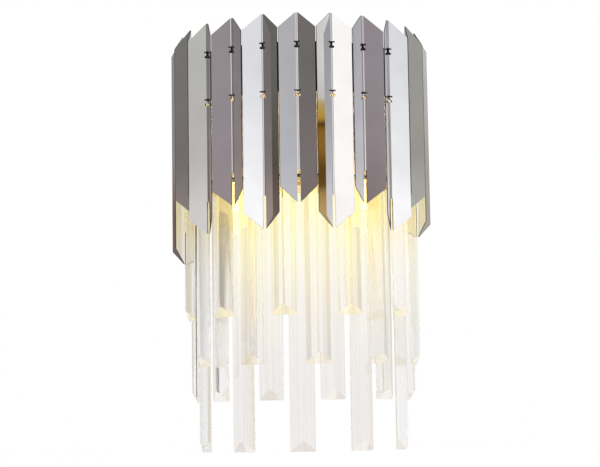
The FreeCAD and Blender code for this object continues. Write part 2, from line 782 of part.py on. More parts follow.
def glass_profile(inset):
    # from the neck: two arcs that meet upright at the widest level, then the round end
    widest = glass_radius - inset
    neck_centre = (glass_radius ** 2 - glass_neck_radius ** 2 - glass_shoulder ** 2) / 2
    neck_centre /= glass_radius - glass_neck_radius
    neck_arc = widest - neck_centre
    wide_span = glass_radius - glass_end_radius
    long_span = glass_length - glass_shoulder - glass_end_radius
    taper_centre = (wide_span ** 2 - long_span ** 2) / 2 / wide_span
    taper_arc = widest - taper_centre
    end_radius = glass_end_radius - inset
    end_turn = math.atan2(long_span, -taper_centre)

    def on_circle(x, z, radius, turn):
        return Vector(x + radius * math.cos(turn), 0, z - radius * math.sin(turn))

    neck = (neck_centre, -glass_shoulder, neck_arc)
    taper = (taper_centre, -glass_shoulder, taper_arc)
    end = (0, glass_end_radius - glass_length, end_radius)
    neck_turn = -math.asin(glass_shoulder / neck_arc)
    arcs = ((neck, neck_turn, 0), (taper, 0, end_turn), (end, end_turn, math.pi / 2))
    edges = []
    for circle, first, last in arcs:
        points = [on_circle(*circle, turn) for turn in (first, (first + last) / 2, last)]
        edges.append(Part.Arc(*points).toShape())
    return edges


def make_bulb_glass():
    outer = glass_profile(0)
    inner = glass_profile(glass_wall)
    joins = [Part.makeLine(outer[0].Vertexes[0].Point, inner[0].Vertexes[0].Point),
             Part.makeLine(outer[2].Vertexes[-1].Point, inner[2].Vertexes[-1].Point)]
    return lathe(outer + inner + joins).translated(Vector(0, 0, -holder_length - bulb_seat))


def make_filament():
    # stem, two support discs and four upright filaments between them
    base = -holder_length - bulb_seat
    lower = base - stem_length
    start = lower - support_sheet
    solids = [fuse([on_axis(stem_radius, lower, base), on_axis(support_radius, start, lower)])]
    for k in range(4):
        turn = math.radians(90 * k + 45)
        x, y = filament_circle * math.cos(turn), filament_circle * math.sin(turn)
        solids.append(cylinder(filament_radius, Vector(x, y, start), Vector(x, y, start - filament_length)))
    end = start - filament_length
    solids.append(on_axis(support_radius, end - support_sheet, end))
    return Part.makeCompound(solids)


def make_lamps():
    nodes = {}
    pairs = {"lamp_holder": make_holder(), "bulb_cap": make_bulb_cap(),
             "bulb_glass": make_bulb_glass(), "bulb_filament": make_filament()}
    groups = {"socket_shells": make_socket_shell(), "holder_nipples": make_nipple(),
              "nipple_nuts": make_nipple_nut()}
    members = {name: [] for name in groups}
    for side, (x, y) in holder_points().items():
        place = Vector(x, y, canopy_bottom)
        for name, shape in pairs.items():
            nodes["%s_%s" % (name, side)] = shape.translated(place)
        for name, shape in groups.items():
            members[name].append(shape.translated(place))
    nodes.update({name: Part.makeCompound(solids) for name, solids in members.items()})
    return nodes


nodes = {
    "wall_bracket": make_bracket(),
    "back_plate": make_back_plate(),
    "locking_screws": make_locking_screws(),
    "cable_grommet": make_grommet(),
    "earth_screw": make_earth_screw(),
    "lamp_leads": make_lamp_leads(),
    "earth_lead": make_earth_lead(),
    "half_ring": make_half_ring(),
    "prism_hooks": make_hooks(),
}
for group in (make_canopy(), make_terminal_block(), make_hangers(), make_lamps(), make_plates(), make_prisms()):
    nodes.update(group)

os.makedirs("parts", exist_ok=True)
for name, shape in sorted(nodes.items()):
    shape.exportStep("parts/%s.step" % name)
    if not shape.isValid() or len(shape.Solids) == 0:
        print("check", name, shape.isValid(), len(shape.Solids))
print(len(nodes), "nodes")
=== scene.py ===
import math
import bpy
import bmesh
from mathutils import Matrix, Vector


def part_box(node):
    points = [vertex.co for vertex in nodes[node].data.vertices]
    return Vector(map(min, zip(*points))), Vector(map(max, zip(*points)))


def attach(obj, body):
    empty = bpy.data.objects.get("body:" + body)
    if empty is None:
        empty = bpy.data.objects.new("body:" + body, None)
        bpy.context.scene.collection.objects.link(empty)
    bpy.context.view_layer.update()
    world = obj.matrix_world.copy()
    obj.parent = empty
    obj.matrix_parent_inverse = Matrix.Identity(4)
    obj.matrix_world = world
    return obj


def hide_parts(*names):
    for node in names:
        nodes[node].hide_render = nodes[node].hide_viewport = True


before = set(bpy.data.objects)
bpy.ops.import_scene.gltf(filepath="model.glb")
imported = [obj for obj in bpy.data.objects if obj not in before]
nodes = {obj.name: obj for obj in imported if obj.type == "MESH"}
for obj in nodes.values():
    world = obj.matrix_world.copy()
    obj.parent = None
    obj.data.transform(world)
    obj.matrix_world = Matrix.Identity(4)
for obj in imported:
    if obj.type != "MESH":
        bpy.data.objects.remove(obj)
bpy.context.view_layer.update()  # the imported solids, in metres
print("frame loaded:", len(nodes), "nodes")

# shared places
fan = {
    "axisY": -0.006,  # upright axis of the half circle
    "plates": 11,
    "pitch": 16.0,  # degrees from plate to plate
}
halfFan = fan["plates"] // 2
# plates and inner prisms hang at the whole places, outer prisms between them
wholePlaces = list(range(-halfFan, halfFan + 1))
halfPlaces = [k + 0.5 for k in wholePlaces[:-1]]


def sideName(stem, place):
    if place == 0:
        return stem + "_centre"
    return "%s_%s_%d" % (stem, "left" if place < 0 else "right", math.ceil(abs(place)))


def fanTurn(place):
    # turn about the upright axis, positive to the viewer's right
    toAxis = Matrix.Translation((0, fan["axisY"], 0))
    return toAxis @ Matrix.Rotation(math.radians(place * fan["pitch"]), 4, "Z") @ toAxis.inverted()


# small modelling helpers
def pickOnly(obj):
    bpy.ops.object.select_all(action="DESELECT")
    obj.select_set(True)
    bpy.context.view_layer.objects.active = obj


def addPrimitive(kind, location, scale, rotation=(0, 0, 0), **more):
    # scaled and turned into place, its object left at the origin
    bpy.ops.object.select_all(action="DESELECT")
    getattr(bpy.ops.mesh, "primitive_%s_add" % kind)(location=location, rotation=rotation, **more)
    obj = bpy.context.active_object
    obj.scale = scale
    bpy.ops.object.transform_apply(location=True, rotation=True, scale=True)
    return obj


def pickParts(obj, kind, test):
    # in edit mode: selects the edges or verts that pass the test
    bpy.ops.mesh.select_all(action="DESELECT")
    bpy.ops.mesh.select_mode(type={"verts": "VERT", "edges": "EDGE"}[kind])
    mesh = bmesh.from_edit_mesh(obj.data)
    for part in getattr(mesh, kind):
        if test(part):
            part.select_set(True)
    mesh.select_flush_mode()
    bmesh.update_edit_mesh(obj.data)


def cutAway(point, outward):
    # planar cut through all that is there, the side the arrow points to is thrown away
    bpy.ops.mesh.select_all(action="SELECT")
    bpy.ops.mesh.bisect(plane_co=point, plane_no=outward, clear_outer=True)


def applyModifier(obj, kind, **settings):
    pickOnly(obj)
    modifier = obj.modifiers.new(kind.lower(), kind)
    for name, value in settings.items():
        setattr(modifier, name, value)
    bpy.ops.object.modifier_apply(modifier=modifier.name)


def cutHole(obj, cutter):
    applyModifier(obj, "BOOLEAN", operation="DIFFERENCE", solver="EXACT", object=cutter,
                  material_mode="TRANSFER")
    bpy.data.objects.remove(cutter)


def smoothByAngle(obj, degrees):
    pickOnly(obj)
    bpy.ops.object.shade_smooth_by_angle(angle=math.radians(degrees))


def placeCopy(model, name, matrix):
    mesh = model.data.copy()
    mesh.name = name
    mesh.transform(matrix)
    obj = bpy.data.objects.new(name, mesh)
    bpy.context.scene.collection.objects.link(obj)
    return obj


# material helpers
noiseLow, noiseHigh = 0.3, 0.7  # noise mostly stays between these


def startMaterial(name):
    mat = bpy.data.materials.new(name)
    mat.use_nodes = True
    tree = mat.node_tree
    return mat, tree, tree.nodes["Principled BSDF"]


def addNode(tree, kind, inputs=None, **settings):
    node = tree.nodes.new(kind)
    for name, value in settings.items():
        setattr(node, name, value)
    for name, value in (inputs or {}).items():
        if isinstance(value, bpy.types.NodeSocket):
            tree.links.new(value, node.inputs[name])
        else:
            node.inputs[name].default_value = value
    return node


def objectCoords(tree, scale=(1, 1, 1)):
    coords = addNode(tree, "ShaderNodeTexCoord")
    return addNode(tree, "ShaderNodeMapping", {"Vector": coords.outputs["Object"], "Scale": scale}).outputs[0]


def noise(tree, coords, scale, detail=3.0):
    node = addNode(tree, "ShaderNodeTexNoise", {"Vector": coords, "Scale": scale, "Detail": detail})
    return node.outputs["Fac"]


def maths(tree, operation, *values):
    return addNode(tree, "ShaderNodeMath", dict(enumerate(values)), operation=operation).outputs[0]


def within(tree, value, low, high):
    above = maths(tree, "GREATER_THAN", value, low)
    return maths(tree, "MULTIPLY", above, maths(tree, "LESS_THAN", value, high))


def spread(tree, value, low, high, fromLow=noiseLow, fromHigh=noiseHigh):
    # the result runs from low to high while the value goes from fromLow to fromHigh
    return addNode(tree, "ShaderNodeMapRange", {"Value": value, "From Min": fromLow, "From Max": fromHigh,
                                                "To Min": low, "To Max": high}).outputs["Result"]


def ramp(tree, value, stops):
    node = addNode(tree, "ShaderNodeValToRGB", {"Fac": value})
    elements = node.color_ramp.elements
    while len(elements) < len(stops):
        elements.new(0.5)
    for element, (place, colour) in zip(elements, stops):
        element.position = place
        element.color = (*colour, 1)
    return node.outputs["Color"]


def twoTone(tree, value, dark, light, fromLow=noiseLow, fromHigh=noiseHigh):
    return ramp(tree, value, [(fromLow, dark), (fromHigh, light)])


def mixColour(tree, factor, first, second, blend="MIX"):
    node = addNode(tree, "ShaderNodeMix", data_type="RGBA", blend_type=blend)
    for socket, value in ((node.inputs[0], factor), (node.inputs[6], first), (node.inputs[7], second)):
        if isinstance(value, bpy.types.NodeSocket):
            tree.links.new(value, socket)
        else:
            socket.default_value = value
    return node.outputs[2]


def bump(tree, height, distance, strength):
    return addNode(tree, "ShaderNodeBump", {"Height": height, "Distance": distance,
                                            "Strength": strength}).outputs["Normal"]


def passShadows(tree, surface, tint):
    # lamps shine through: shadow rays pass with a little loss
    path = addNode(tree, "ShaderNodeLightPath")
    clear = addNode(tree, "ShaderNodeBsdfTransparent", {"Color": (*tint, 1)})
    mix = addNode(tree, "ShaderNodeMixShader", {0: path.outputs["Is Shadow Ray"], 1: surface,
                                                2: clear.outputs[0]})
    tree.links.new(mix.outputs[0], tree.nodes["Material Output"].inputs["Surface"])


def grey(level):
    return (level, level, level)


def lighter(colour, step):
    return tuple(part + step for part in colour)


def shaded(colour, factor):
    return tuple(part * factor for part in colour)


# mirror steel
steelLook = {
    "colour": (0.90, 0.90, 0.905),
    "colourPlay": 0.03,
    "roughness": 0.03,
    "hazeScale": 38.0,
    "lineScale": (1500, 1500, 14),  # fine across the fold, long along it
    "waveScale": 16.0,
    "waveDepth": 0.00012,
    "edgeColour": (0.09, 0.085, 0.085),
    "edgeRoughness": (0.25, 0.45),
    "edgeGrain": 900.0,
}


def mirrorSteel():
    # polished sheet: a breath of haze, faint polishing lines along the fold, a slow waviness
    mat, tree, shader = startMaterial("mirrorSteel")
    haze = noise(tree, objectCoords(tree), steelLook["hazeScale"], detail=4.0)
    lines = noise(tree, objectCoords(tree, steelLook["lineScale"]), 1.0, detail=2.0)
    wave = noise(tree, objectCoords(tree, (1, 1, 0.4)), steelLook["waveScale"], detail=1.0)
    colour, play = steelLook["colour"], steelLook["colourPlay"]
    tint = twoTone(tree, haze, lighter(colour, -play), lighter(colour, play))
    tree.links.new(tint, shader.inputs["Base Color"])
    shader.inputs["Metallic"].default_value = 1.0
    both = maths(tree, "MULTIPLY", haze, lines)  # mostly 0.12 to 0.4
    rough = steelLook["roughness"]
    tree.links.new(spread(tree, both, rough * 0.4, rough * 1.8, 0.12, 0.4), shader.inputs["Roughness"])
    tree.links.new(bump(tree, wave, steelLook["waveDepth"], strength=0.6), shader.inputs["Normal"])
    return mat


def cutEdgeSteel():
    # sawn and deburred rim of the sheet, darker and duller than the faces
    mat, tree, shader = startMaterial("cutEdgeSteel")
    grain = noise(tree, objectCoords(tree, (1, 1, 0.3)), steelLook["edgeGrain"], detail=2.0)
    colour = steelLook["edgeColour"]
    tint = twoTone(tree, grain, shaded(colour, 0.6), shaded(colour, 1.5), 0.35, 0.65)
    tree.links.new(tint, shader.inputs["Base Color"])
    shader.inputs["Metallic"].default_value = 1.0
    tree.links.new(spread(tree, grain, *steelLook["edgeRoughness"]), shader.inputs["Roughness"])
    return mat


# crystal
crystalLook = {
    "ior": 1.52,
    "roughness": 0.0,
    "lampTop": -0.13,  # height where the painted warm lamplight is full
    "lampEnd": -0.30,  # height where it has faded out
    # painted lamplight tints, from lampTop down to lampEnd, in the middle and at the sides
    "paintedLampTints": [(0.0, (1.0, 0.965, 0.73)), (0.24, (1.0, 0.978, 0.85)), (0.45, (0.99, 0.955, 0.88)),
              (0.7, (0.965, 0.937, 0.9)), (0.95, (0.927, 0.897, 0.875))],
    "paintedSideLampTints": [(0.0, (0.97, 0.91, 0.7)), (0.15, (0.97, 0.93, 0.82)), (0.29, (0.97, 0.958, 0.925)),
                  (0.73, (0.97, 0.962, 0.945))],
    "sideFrom": 0.062,  # distance from the middle plane where the side begins
    "sideTo": 0.08,  # and where it is full
    "streakScale": (420, 420, 1.5),  # upright streaks, which shift the painted lamplight up or down by streakShift
    "streakShift": 0.015,
    "lineScale": (520, 520, 0.2),  # fine upright drawing lines
    "lineShade": 0.07,
    "clear": 0.965,  # the rest is a faint milkiness that the lamps light up
    "paintedGlow": (0.05, 0.045, 0.025),  # painted glow: lamplight painted in as emission near the lamps
    "glowEnd": 0.75,  # how far down from lampTop it reaches
    "leftPaintedGlow": (0.0, 0.0, 0.0),  # far to the left no painted glow, a painted shade where the glass looks darker
    # slanting ends, by height, with a painted lamplight tint and a painted glow
    "facetTop": -0.2,  # above it, level faces are the prisms' tops
    "facetSlopes": (0.4, 0.5),  # upright part of the normal at which a face begins to count and is full
    "endTop": -0.225,
    "endLow": -0.31,
    "paintedEndTint": [(0.0, (0.9, 0.845, 0.69)), (1.0, (0.89, 0.865, 0.835))],
    "paintedEndGlow": [(0.0, (0.12, 0.09, 0.01)), (1.0, (0.04, 0.03, 0.02))],
    # past so many bounces the glass gives out its tint as painted light instead of letting the ray go on
    "seeDepth": 8.5,
    "endDepth": 4.5,  # the same below endTop
    "endBlend": 0.01,  # height that the change takes
    "facetDepth": 0.5,  # and on the slanting ends, so that one seen through the glass shows whole in painted light
    "paintedLightStrength": 0.95,
    "shadowTint": (0.93, 0.92, 0.9),
}


def crystal():
    # lead glass with the lamps' warm light painted into its tint high up, paling towards its ends
    mat, tree, shader = startMaterial("crystal")
    spot = addNode(tree, "ShaderNodeSeparateXYZ", {"Vector": objectCoords(tree)})
    across, level = spot.outputs["X"], spot.outputs["Z"]
    streaks = noise(tree, objectCoords(tree, crystalLook["streakScale"]), 1.0, detail=2.0)
    shift = spread(tree, streaks, -crystalLook["streakShift"], crystalLook["streakShift"])
    height = maths(tree, "ADD", level, shift)
    fall = spread(tree, height, 0.0, 1.0, crystalLook["lampTop"], crystalLook["lampEnd"])
    aside = maths(tree, "ABSOLUTE", across)
    aside = spread(tree, aside, 0.0, 1.0, crystalLook["sideFrom"], crystalLook["sideTo"])
    # painted lamplight: warm high up near the lamps, paler and greyer lower down
    tint = ramp(tree, fall, crystalLook["paintedLampTints"])
    tint = mixColour(tree, aside, tint, ramp(tree, fall, crystalLook["paintedSideLampTints"]))
    lines = noise(tree, objectCoords(tree, crystalLook["lineScale"]), 1.0, detail=0.0)
    shade = spread(tree, lines, 1.0 - crystalLook["lineShade"], 1.0, 0.4, 0.6)
    tint = mixColour(tree, 1.0, tint, shade, "MULTIPLY")
    # slanting ends, whose normal points down outside and up inside
    facing = addNode(tree, "ShaderNodeNewGeometry")
    slope = addNode(tree, "ShaderNodeSeparateXYZ", {"Vector": facing.outputs["True Normal"]}).outputs["Z"]
    isSlant = spread(tree, maths(tree, "ABSOLUTE", slope), 0.0, 1.0, *crystalLook["facetSlopes"])
    facet = maths(tree, "MULTIPLY", isSlant, maths(tree, "LESS_THAN", level, crystalLook["facetTop"]))
    endFall = spread(tree, level, 0.0, 1.0, crystalLook["endTop"], crystalLook["endLow"])
    # the slanting ends take a painted cream tint of lamplight, by height
    tint = mixColour(tree, facet, tint, ramp(tree, endFall, crystalLook["paintedEndTint"]))
    tree.links.new(tint, shader.inputs["Base Color"])
    shader.inputs["Transmission Weight"].default_value = crystalLook["clear"]
    # painted glow of lamplight near the lamps, fading downwards
    paintedGlow = twoTone(tree, fall, crystalLook["paintedGlow"], grey(0.0), 0.0, crystalLook["glowEnd"])
    # far to the left the painted glow fades out, a painted shade
    leftward = spread(tree, across, 1.0, 0.0, -crystalLook["sideTo"], -crystalLook["sideFrom"])
    paintedGlow = mixColour(tree, leftward, paintedGlow, (*crystalLook["leftPaintedGlow"], 1))
    # and a painted glow of lamplight on the slanting ends
    paintedGlow = mixColour(tree, facet, paintedGlow, ramp(tree, endFall, crystalLook["paintedEndGlow"]))
    tree.links.new(paintedGlow, shader.inputs["Emission Color"])
    shader.inputs["Emission Strength"].default_value = 1.0
    shader.inputs["IOR"].default_value = crystalLook["ior"]
    shader.inputs["Roughness"].default_value = crystalLook["roughness"]
    # light that has gone to and fro through many edges ends in painted light: the glass gives out its own
    # tint as emission
    path = addNode(tree, "ShaderNodeLightPath")
    endTop = crystalLook["endTop"]
    limit = spread(tree, level, crystalLook["endDepth"], crystalLook["seeDepth"],
                   endTop - crystalLook["endBlend"], endTop)
    limit = spread(tree, facet, limit, crystalLook["facetDepth"], 0.0, 1.0)
    deep = maths(tree, "GREATER_THAN", path.outputs["Ray Depth"], limit)
    paintedLight = addNode(tree, "ShaderNodeEmission", {"Color": tint, "Strength": crystalLook["paintedLightStrength"]})
    body = addNode(tree, "ShaderNodeMixShader", {0: deep, 1: shader.outputs[0], 2: paintedLight.outputs[0]})
    passShadows(tree, body.outputs[0], crystalLook["shadowTint"])
    return mat


# fittings
cloudScale = 60.0  # soft clouds in enamel and plastics
enamelDark = (0.80, 0.79, 0.76)
enamelLight = (0.86, 0.85, 0.82)
paintLook = {
    "dark": grey(0.008),
    "light": grey(0.022),
    "roughness": (0.32, 0.46),
    "dustScale": 30.0,
    "peelScale": 1400.0,
    "peelDepth": 0.00004,
}


def blackPaint():
    # powder coat: near black, fine orange peel, a little dust
    mat, tree, shader = startMaterial("blackPaint")
    coords = objectCoords(tree)
    dust = noise(tree, coords, paintLook["dustScale"], detail=5.0)
    peel = noise(tree, coords, paintLook["peelScale"], detail=2.0)
    tree.links.new(twoTone(tree, dust, paintLook["dark"], paintLook["light"], 0.35, 0.7),
                   shader.inputs["Base Color"])
    tree.links.new(spread(tree, dust, *paintLook["roughness"]), shader.inputs["Roughness"])
    tree.links.new(bump(tree, peel, paintLook["peelDepth"], strength=0.7), shader.inputs["Normal"])
    return mat


def metalFinish(name, dark, light, roughness, grainScale):
    # its stains are some eight times as coarse as its grain
    mat, tree, shader = startMaterial(name)
    coords = objectCoords(tree)
    cloud = noise(tree, coords, grainScale * 0.12, detail=4.0)
    grain = noise(tree, coords, grainScale)
    tree.links.new(twoTone(tree, cloud, dark, light), shader.inputs["Base Color"])
    shader.inputs["Metallic"].default_value = 1.0
    tree.links.new(spread(tree, grain, roughness * 0.7, roughness * 1.4), shader.inputs["Roughness"])
    tree.links.new(bump(tree, grain, distance=0.00003, strength=0.5), shader.inputs["Normal"])
    return mat


def plasticFinish(name, dark, light, roughness, grainScale, grainDepth):
    mat, tree, shader = startMaterial(name)
    coords = objectCoords(tree)
    cloud = noise(tree, coords, cloudScale, detail=4.0)
    grain = noise(tree, coords, grainScale, detail=2.0)
    tree.links.new(twoTone(tree, cloud, dark, light), shader.inputs["Base Color"])
    tree.links.new(spread(tree, grain, roughness * 0.8, roughness * 1.2), shader.inputs["Roughness"])
    tree.links.new(bump(tree, grain, grainDepth, strength=0.6), shader.inputs["Normal"])
    return mat


earthLook = {
    "green": (0.03, 0.22, 0.04),
    "yellow": (0.75, 0.62, 0.04),
    "stripeScale": 55.0,
    "grainScale": 700.0,
    "roughness": (0.4, 0.55),
}


def earthInsulation():
    # green sleeve with a yellow stripe running round it
    mat, tree, shader = startMaterial("earthInsulation")
    coords = objectCoords(tree)
    stripes = addNode(tree, "ShaderNodeTexWave",
                      {"Vector": coords, "Scale": earthLook["stripeScale"], "Distortion": 0.4},
                      bands_direction="DIAGONAL").outputs["Fac"]
    tree.links.new(twoTone(tree, stripes, earthLook["green"], earthLook["yellow"], 0.55, 0.62),
                   shader.inputs["Base Color"])
    grain = noise(tree, coords, earthLook["grainScale"])
    tree.links.new(spread(tree, grain, *earthLook["roughness"]), shader.inputs["Roughness"])
    return mat


bulbLook = {
    # the tints run from the tip of the bulb up to its cap, between these heights
    "tipLevel": -0.147,
    "capLevel": -0.073,
    "tipTint": (0.76, 0.73, 0.66),
    "capTint": (0.76, 0.68, 0.54),
    # painted glow of the envelope, from tip to cap
    "paintedGlowTones": [(0.0, (0.95, 0.8, 0.55)), (0.5, (1.0, 0.88, 0.62)), (1.0, (0.85, 0.6, 0.3))],
    "paintedGlassGlow": 0.3,
    "ior": 1.47,
    "roughness": 0.05,
    "shadowTint": (1, 0.98, 0.95),
    "filamentBase": (0.2, 0.18, 0.16),
    "filamentDark": (1.0, 0.5, 0.15),
    "filamentLight": (1.0, 0.82, 0.45),
    "filamentGrain": 500.0,
    "filamentStrength": 9.0,
    "lampColour": (1.0, 0.72, 0.34),
    "lampWatts": 0.22,
    "lampRadius": 0.012,
}


def bulbGlass():
    # thin clear envelope with a faint amber breath near the cap and a painted glow from tip to cap
    mat, tree, shader = startMaterial("bulbGlass")
    spot = addNode(tree, "ShaderNodeSeparateXYZ", {"Vector": objectCoords(tree)})
    climb = spread(tree, spot.outputs["Z"], 0.0, 1.0, bulbLook["tipLevel"], bulbLook["capLevel"])
    tree.links.new(twoTone(tree, climb, bulbLook["tipTint"], bulbLook["capTint"], 0.0, 1.0),
                   shader.inputs["Base Color"])
    shader.inputs["Transmission Weight"].default_value = 1.0
    shader.inputs["IOR"].default_value = bulbLook["ior"]
    shader.inputs["Roughness"].default_value = bulbLook["roughness"]
    # painted glow in the glass envelope
    tree.links.new(ramp(tree, climb, bulbLook["paintedGlowTones"]), shader.inputs["Emission Color"])
    shader.inputs["Emission Strength"].default_value = bulbLook["paintedGlassGlow"]
    passShadows(tree, shader.outputs[0], bulbLook["shadowTint"])
    return mat


def glowingFilament():
    mat, tree, shader = startMaterial("glowingFilament")
    beat = noise(tree, objectCoords(tree), bulbLook["filamentGrain"], detail=2.0)
    tree.links.new(twoTone(tree, beat, bulbLook["filamentDark"], bulbLook["filamentLight"]),
                   shader.inputs["Emission Color"])
    shader.inputs["Emission Strength"].default_value = bulbLook["filamentStrength"]
    shader.inputs["Base Color"].default_value = (*bulbLook["filamentBase"], 1)
    return mat


canopyFloorLook = {
    "rimRadius": 0.1128,  # from the upright axis; beyond it lie the black edge and the tabs
    "rimBlend": 0.0001,
    "rimColour": grey(0.012),
    "grainScale": 350.0,
    "roughness": (0.25, 0.36),
}


def canopyFloor():
    # white enamel inside, the edge and the tabs in the black of the wall
    mat, tree, shader = startMaterial("canopyFloor")
    coords = objectCoords(tree)
    enamel = twoTone(tree, noise(tree, coords, cloudScale, detail=4.0), enamelDark, enamelLight)
    flat = addNode(tree, "ShaderNodeMapping",
                   {"Vector": coords, "Location": (0, -fan["axisY"], 0), "Scale": (1, 1, 0)})
    reach = addNode(tree, "ShaderNodeVectorMath", {0: flat.outputs[0]}, operation="LENGTH").outputs["Value"]
    edge, blend = canopyFloorLook["rimRadius"], canopyFloorLook["rimBlend"]
    outside = spread(tree, reach, 0.0, 1.0, edge - blend, edge + blend)
    colour = mixColour(tree, outside, enamel, (*canopyFloorLook["rimColour"], 1))
    tree.links.new(colour, shader.inputs["Base Color"])
    grain = noise(tree, coords, canopyFloorLook["grainScale"], detail=2.0)
    tree.links.new(spread(tree, grain, *canopyFloorLook["roughness"]), shader.inputs["Roughness"])
    return mat


# name, tone where it is darker and lighter, roughness, scale of the grain
metals = {
    "zinc_steel": ("zincSteel", (0.38, 0.39, 0.41), (0.56, 0.57, 0.58), 0.34, 420.0),
    "polished_fittings": ("polishedFittings", (0.72, 0.72, 0.73), (0.82, 0.82, 0.83), 0.12, 300.0),
    "brass_fittings": ("brassFittings", (0.62, 0.40, 0.13), (0.83, 0.60, 0.25), 0.2, 500.0),
}
# the same and the depth of the grain
plastics = {
    "white_enamel": ("whiteEnamel", enamelDark, enamelLight, 0.3, 350.0, 0.00004),
    "black_rubber": ("blackRubber", grey(0.012), grey(0.03), 0.62, 800.0, 0.00005),
    "white_plastic": ("whitePlastic", (0.72, 0.72, 0.7), (0.8, 0.8, 0.78), 0.4, 900.0, 0.00003),
    "white_insulation": ("whiteInsulation", (0.7, 0.69, 0.66), (0.8, 0.79, 0.76), 0.5, 900.0, 0.00003),
    "cream_holder": ("creamHolder", (0.72, 0.66, 0.5), (0.82, 0.76, 0.6), 0.38, 900.0, 0.00003),
}
finishes = {
    "mirror_steel": mirrorSteel(),
    "black_paint": blackPaint(),
    "canopy_floor": canopyFloor(),
    "crystal": crystal(),
    "green_insulation": earthInsulation(),
    "bulb_glass": bulbGlass(),
    "filament": glowingFilament(),
}
for slot, values in metals.items():
    finishes[slot] = metalFinish(*values)
for slot, values in plastics.items():
    finishes[slot] = plasticFinish(*values)
cutEdge = cutEdgeSteel()

finishOf = {
    "black_paint": ["canopy_top", "canopy_wall", "half_ring"],
    "white_enamel": ["back_plate"],
    "canopy_floor": ["canopy_bottom"],
    "zinc_steel": ["wall_bracket", "terminal_screws", "hanger_rods", "hanger_nuts", "holder_nipples",
                   "nipple_nuts"],
    "polished_fittings": ["locking_screws", "cap_nuts"],
    "brass_fittings": ["earth_screw", "prism_hooks", "socket_shells", "bulb_cap_left", "bulb_cap_right"],
    "black_rubber": ["cable_grommet"],
    "white_plastic": ["terminal_block"],
    "white_insulation": ["lamp_leads"],
    "green_insulation": ["earth_lead"],
    "cream_holder": ["lamp_holder_left", "lamp_holder_right"],
    "bulb_glass": ["bulb_glass_left", "bulb_glass_right"],
    "filament": ["bulb_filament_left", "bulb_filament_right"],
}
for slot, names in finishOf.items():
    for name in names:
        nodes[name].data.materials.clear()
        nodes[name].data.materials.append(finishes[slot])
print("materials ready")

# folded plates
plate = {
    "tipRadius": 0.125,  # circle of the wing tips
    "gap": 0.0016,  # between the tips of neighbours
    "sheet": 0.0008,
    "foldRadius": 0.0025,
    "foldBack": 0.1134,  # back of the fold, from the axis
    "foldSteps": 10,
    "top": 0.04985,
    "topDrop": 0.0158,  # point to wing corner
    "lowDrop": 0.0137,
    "corner": 0.0007,  # run of the rounded wing corner
    "rimBevel": 0.00012,
    "bevelAngle": 40,  # degrees; edges that turn by more are rounded
    "smoothAngle": 20,
    "mergeDistance": 0.00001,
    "shortLength": 0.1752,
    "longLength": 0.1985,
    "endLength": 0.221,  # leftmost plate only
    "slitWidth": 0.003,
    "slitLength": 0.0304,
    "slitOverrun": 0.004,  # the cutter starts so far below the tip
    # I-shaped cut-outs: top edge of each, then bar, stem and foot
    "cutoutTops": (0.02335, -0.02195),
    "cutoutHeight": 0.0063,
    "bar": (0.006, 0.0014),
    "stem": 0.0022,
    "foot": (0.0049, 0.0022),
    "overlap": 0.0001,  # the stem's ends stay so far inside bar and foot
    "cutDepth": 0.02,
}


def plateSection():
    # tangent points, tips and the turn of the fold, in plan
    halfGap = plate["gap"] / 2 / plate["tipRadius"]
    tipAngle = math.radians(fan["pitch"] / 2) - halfGap
    tipX = plate["tipRadius"] * math.sin(tipAngle)
    tipR = plate["tipRadius"] * math.cos(tipAngle)
    centreR = plate["foldBack"] + plate["sheet"] + plate["foldRadius"]
    far = math.hypot(tipX, tipR - centreR)
    slope = math.atan2(tipR - centreR, tipX) + math.asin(plate["foldRadius"] / far)
    return tipX, tipR, centreR, slope


def slotCutter(width, low, high):
    # block that runs through the fold from front to back
    middle = fan["axisY"] - plate["foldBack"]
    block = addPrimitive("cube", (0, middle, (low + high) / 2), (width, plate["cutDepth"], high - low),
                         size=1)
    block.data.materials.append(cutEdge)
    return block


